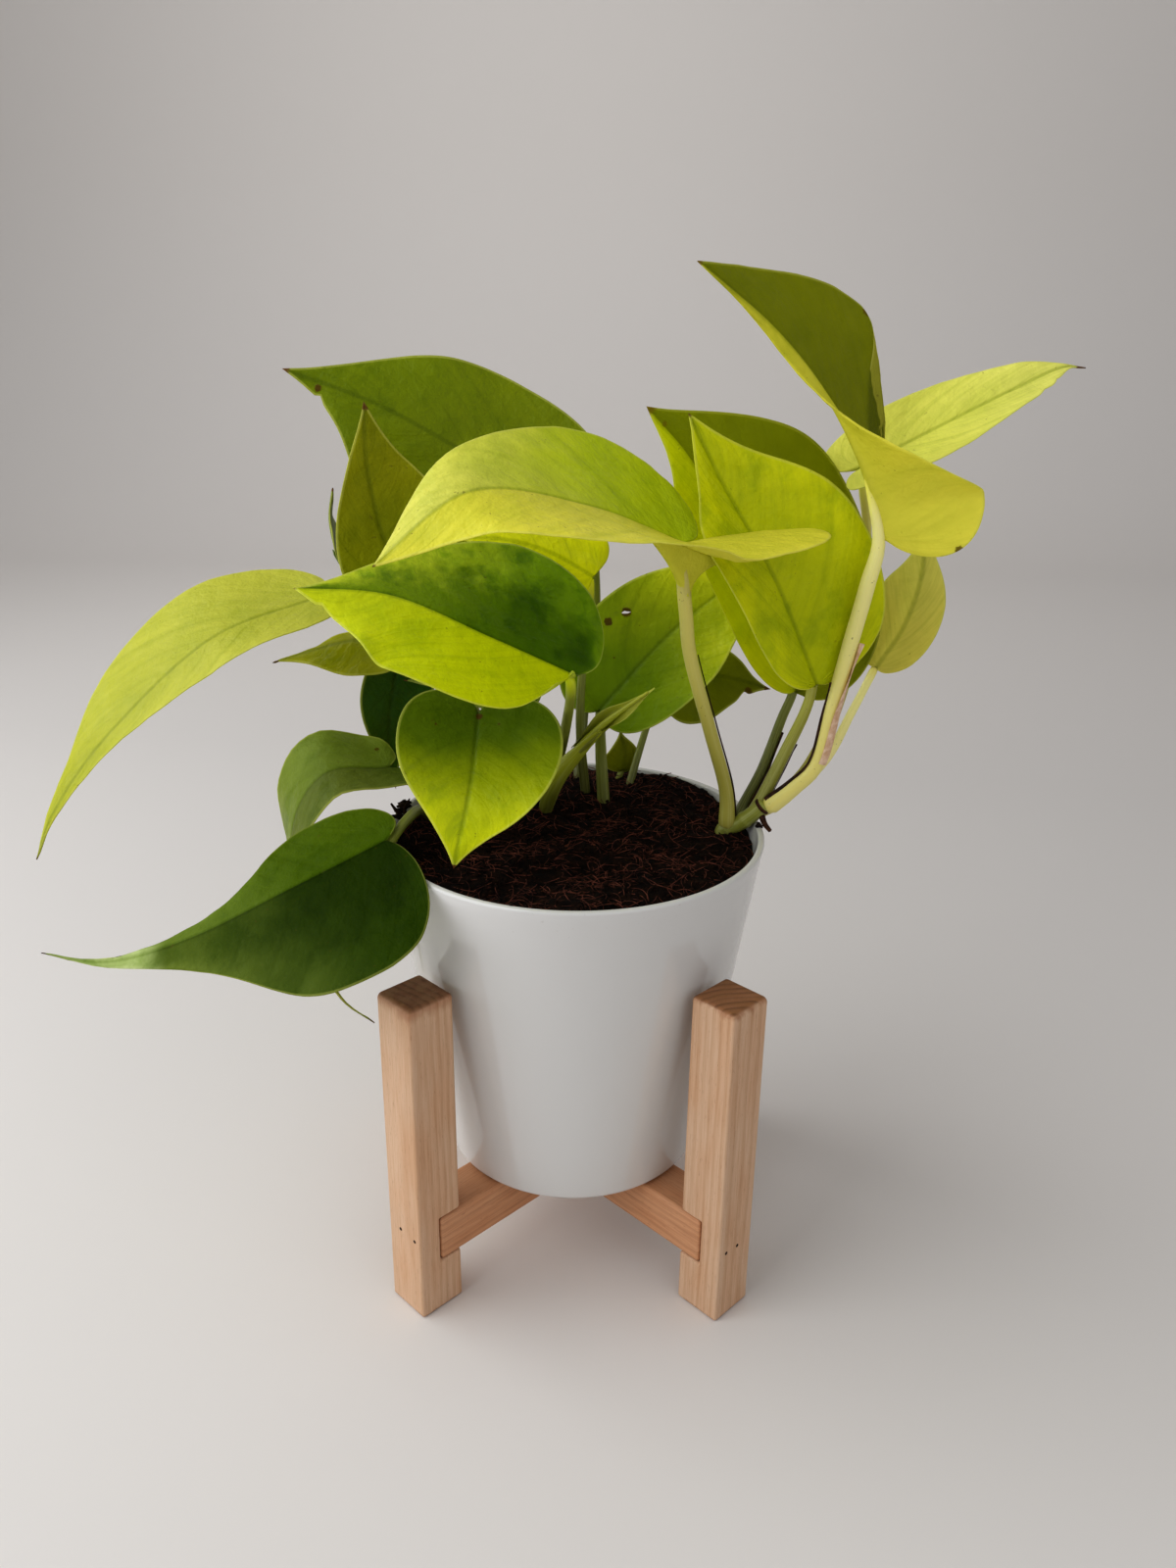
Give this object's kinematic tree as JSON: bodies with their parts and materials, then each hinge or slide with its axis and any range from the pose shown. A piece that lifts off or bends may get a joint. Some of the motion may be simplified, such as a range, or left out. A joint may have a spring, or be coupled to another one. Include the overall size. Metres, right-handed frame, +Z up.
{
  "type": "potted heart-leaf pothos plant on a wooden stand",
  "caption": "Heart-leaf pothos with lime and green leaves in a round white cone pot, resting in a wooden stand with square legs and halved crossbars.",
  "frame": {"origin": "middle of the part's outline on the surface that it stands on", "axes": "+Z up, +X to the right and +Y to the back as the picture sees it; the stand's own axis is 1.5 mm right of and 1.7 mm before the origin"},
  "size_m": [0.2964, 0.1314, 0.2934],
  "materials": {
    "leg_wood": "matte",
    "crossbar_wood": "matte",
    "pot_plastic": "gloss",
    "soil": "matte",
    "lime_leaf": "satin",
    "pale_leaf": "satin",
    "olive_leaf": "satin",
    "green_leaf": "satin"
  },
  "bodies": {
    "root": {"leg_front_left": "leg_wood", "leg_front_right": "leg_wood", "leg_back_right": "leg_wood", "leg_back_left": "leg_wood", "crossbar_lower": "crossbar_wood", "crossbar_upper": "crossbar_wood", "pot": "pot_plastic", "leaf_01": "green_leaf", "leaf_02": "green_leaf", "leaf_03": "lime_leaf", "leaf_04": "green_leaf", "leaf_05": "lime_leaf", "leaf_06": "pale_leaf", "leaf_07": "olive_leaf", "leaf_08": "olive_leaf", "leaf_09": "lime_leaf", "leaf_10": "olive_leaf", "leaf_11": "lime_leaf", "leaf_12": "olive_leaf", "leaf_13": "green_leaf", "leaf_14": "green_leaf", "leaf_15": "olive_leaf", "vine_right": "lime_leaf", "leaf_rolled": "lime_leaf", "soil": "soil"}
  },
  "joints": []
}
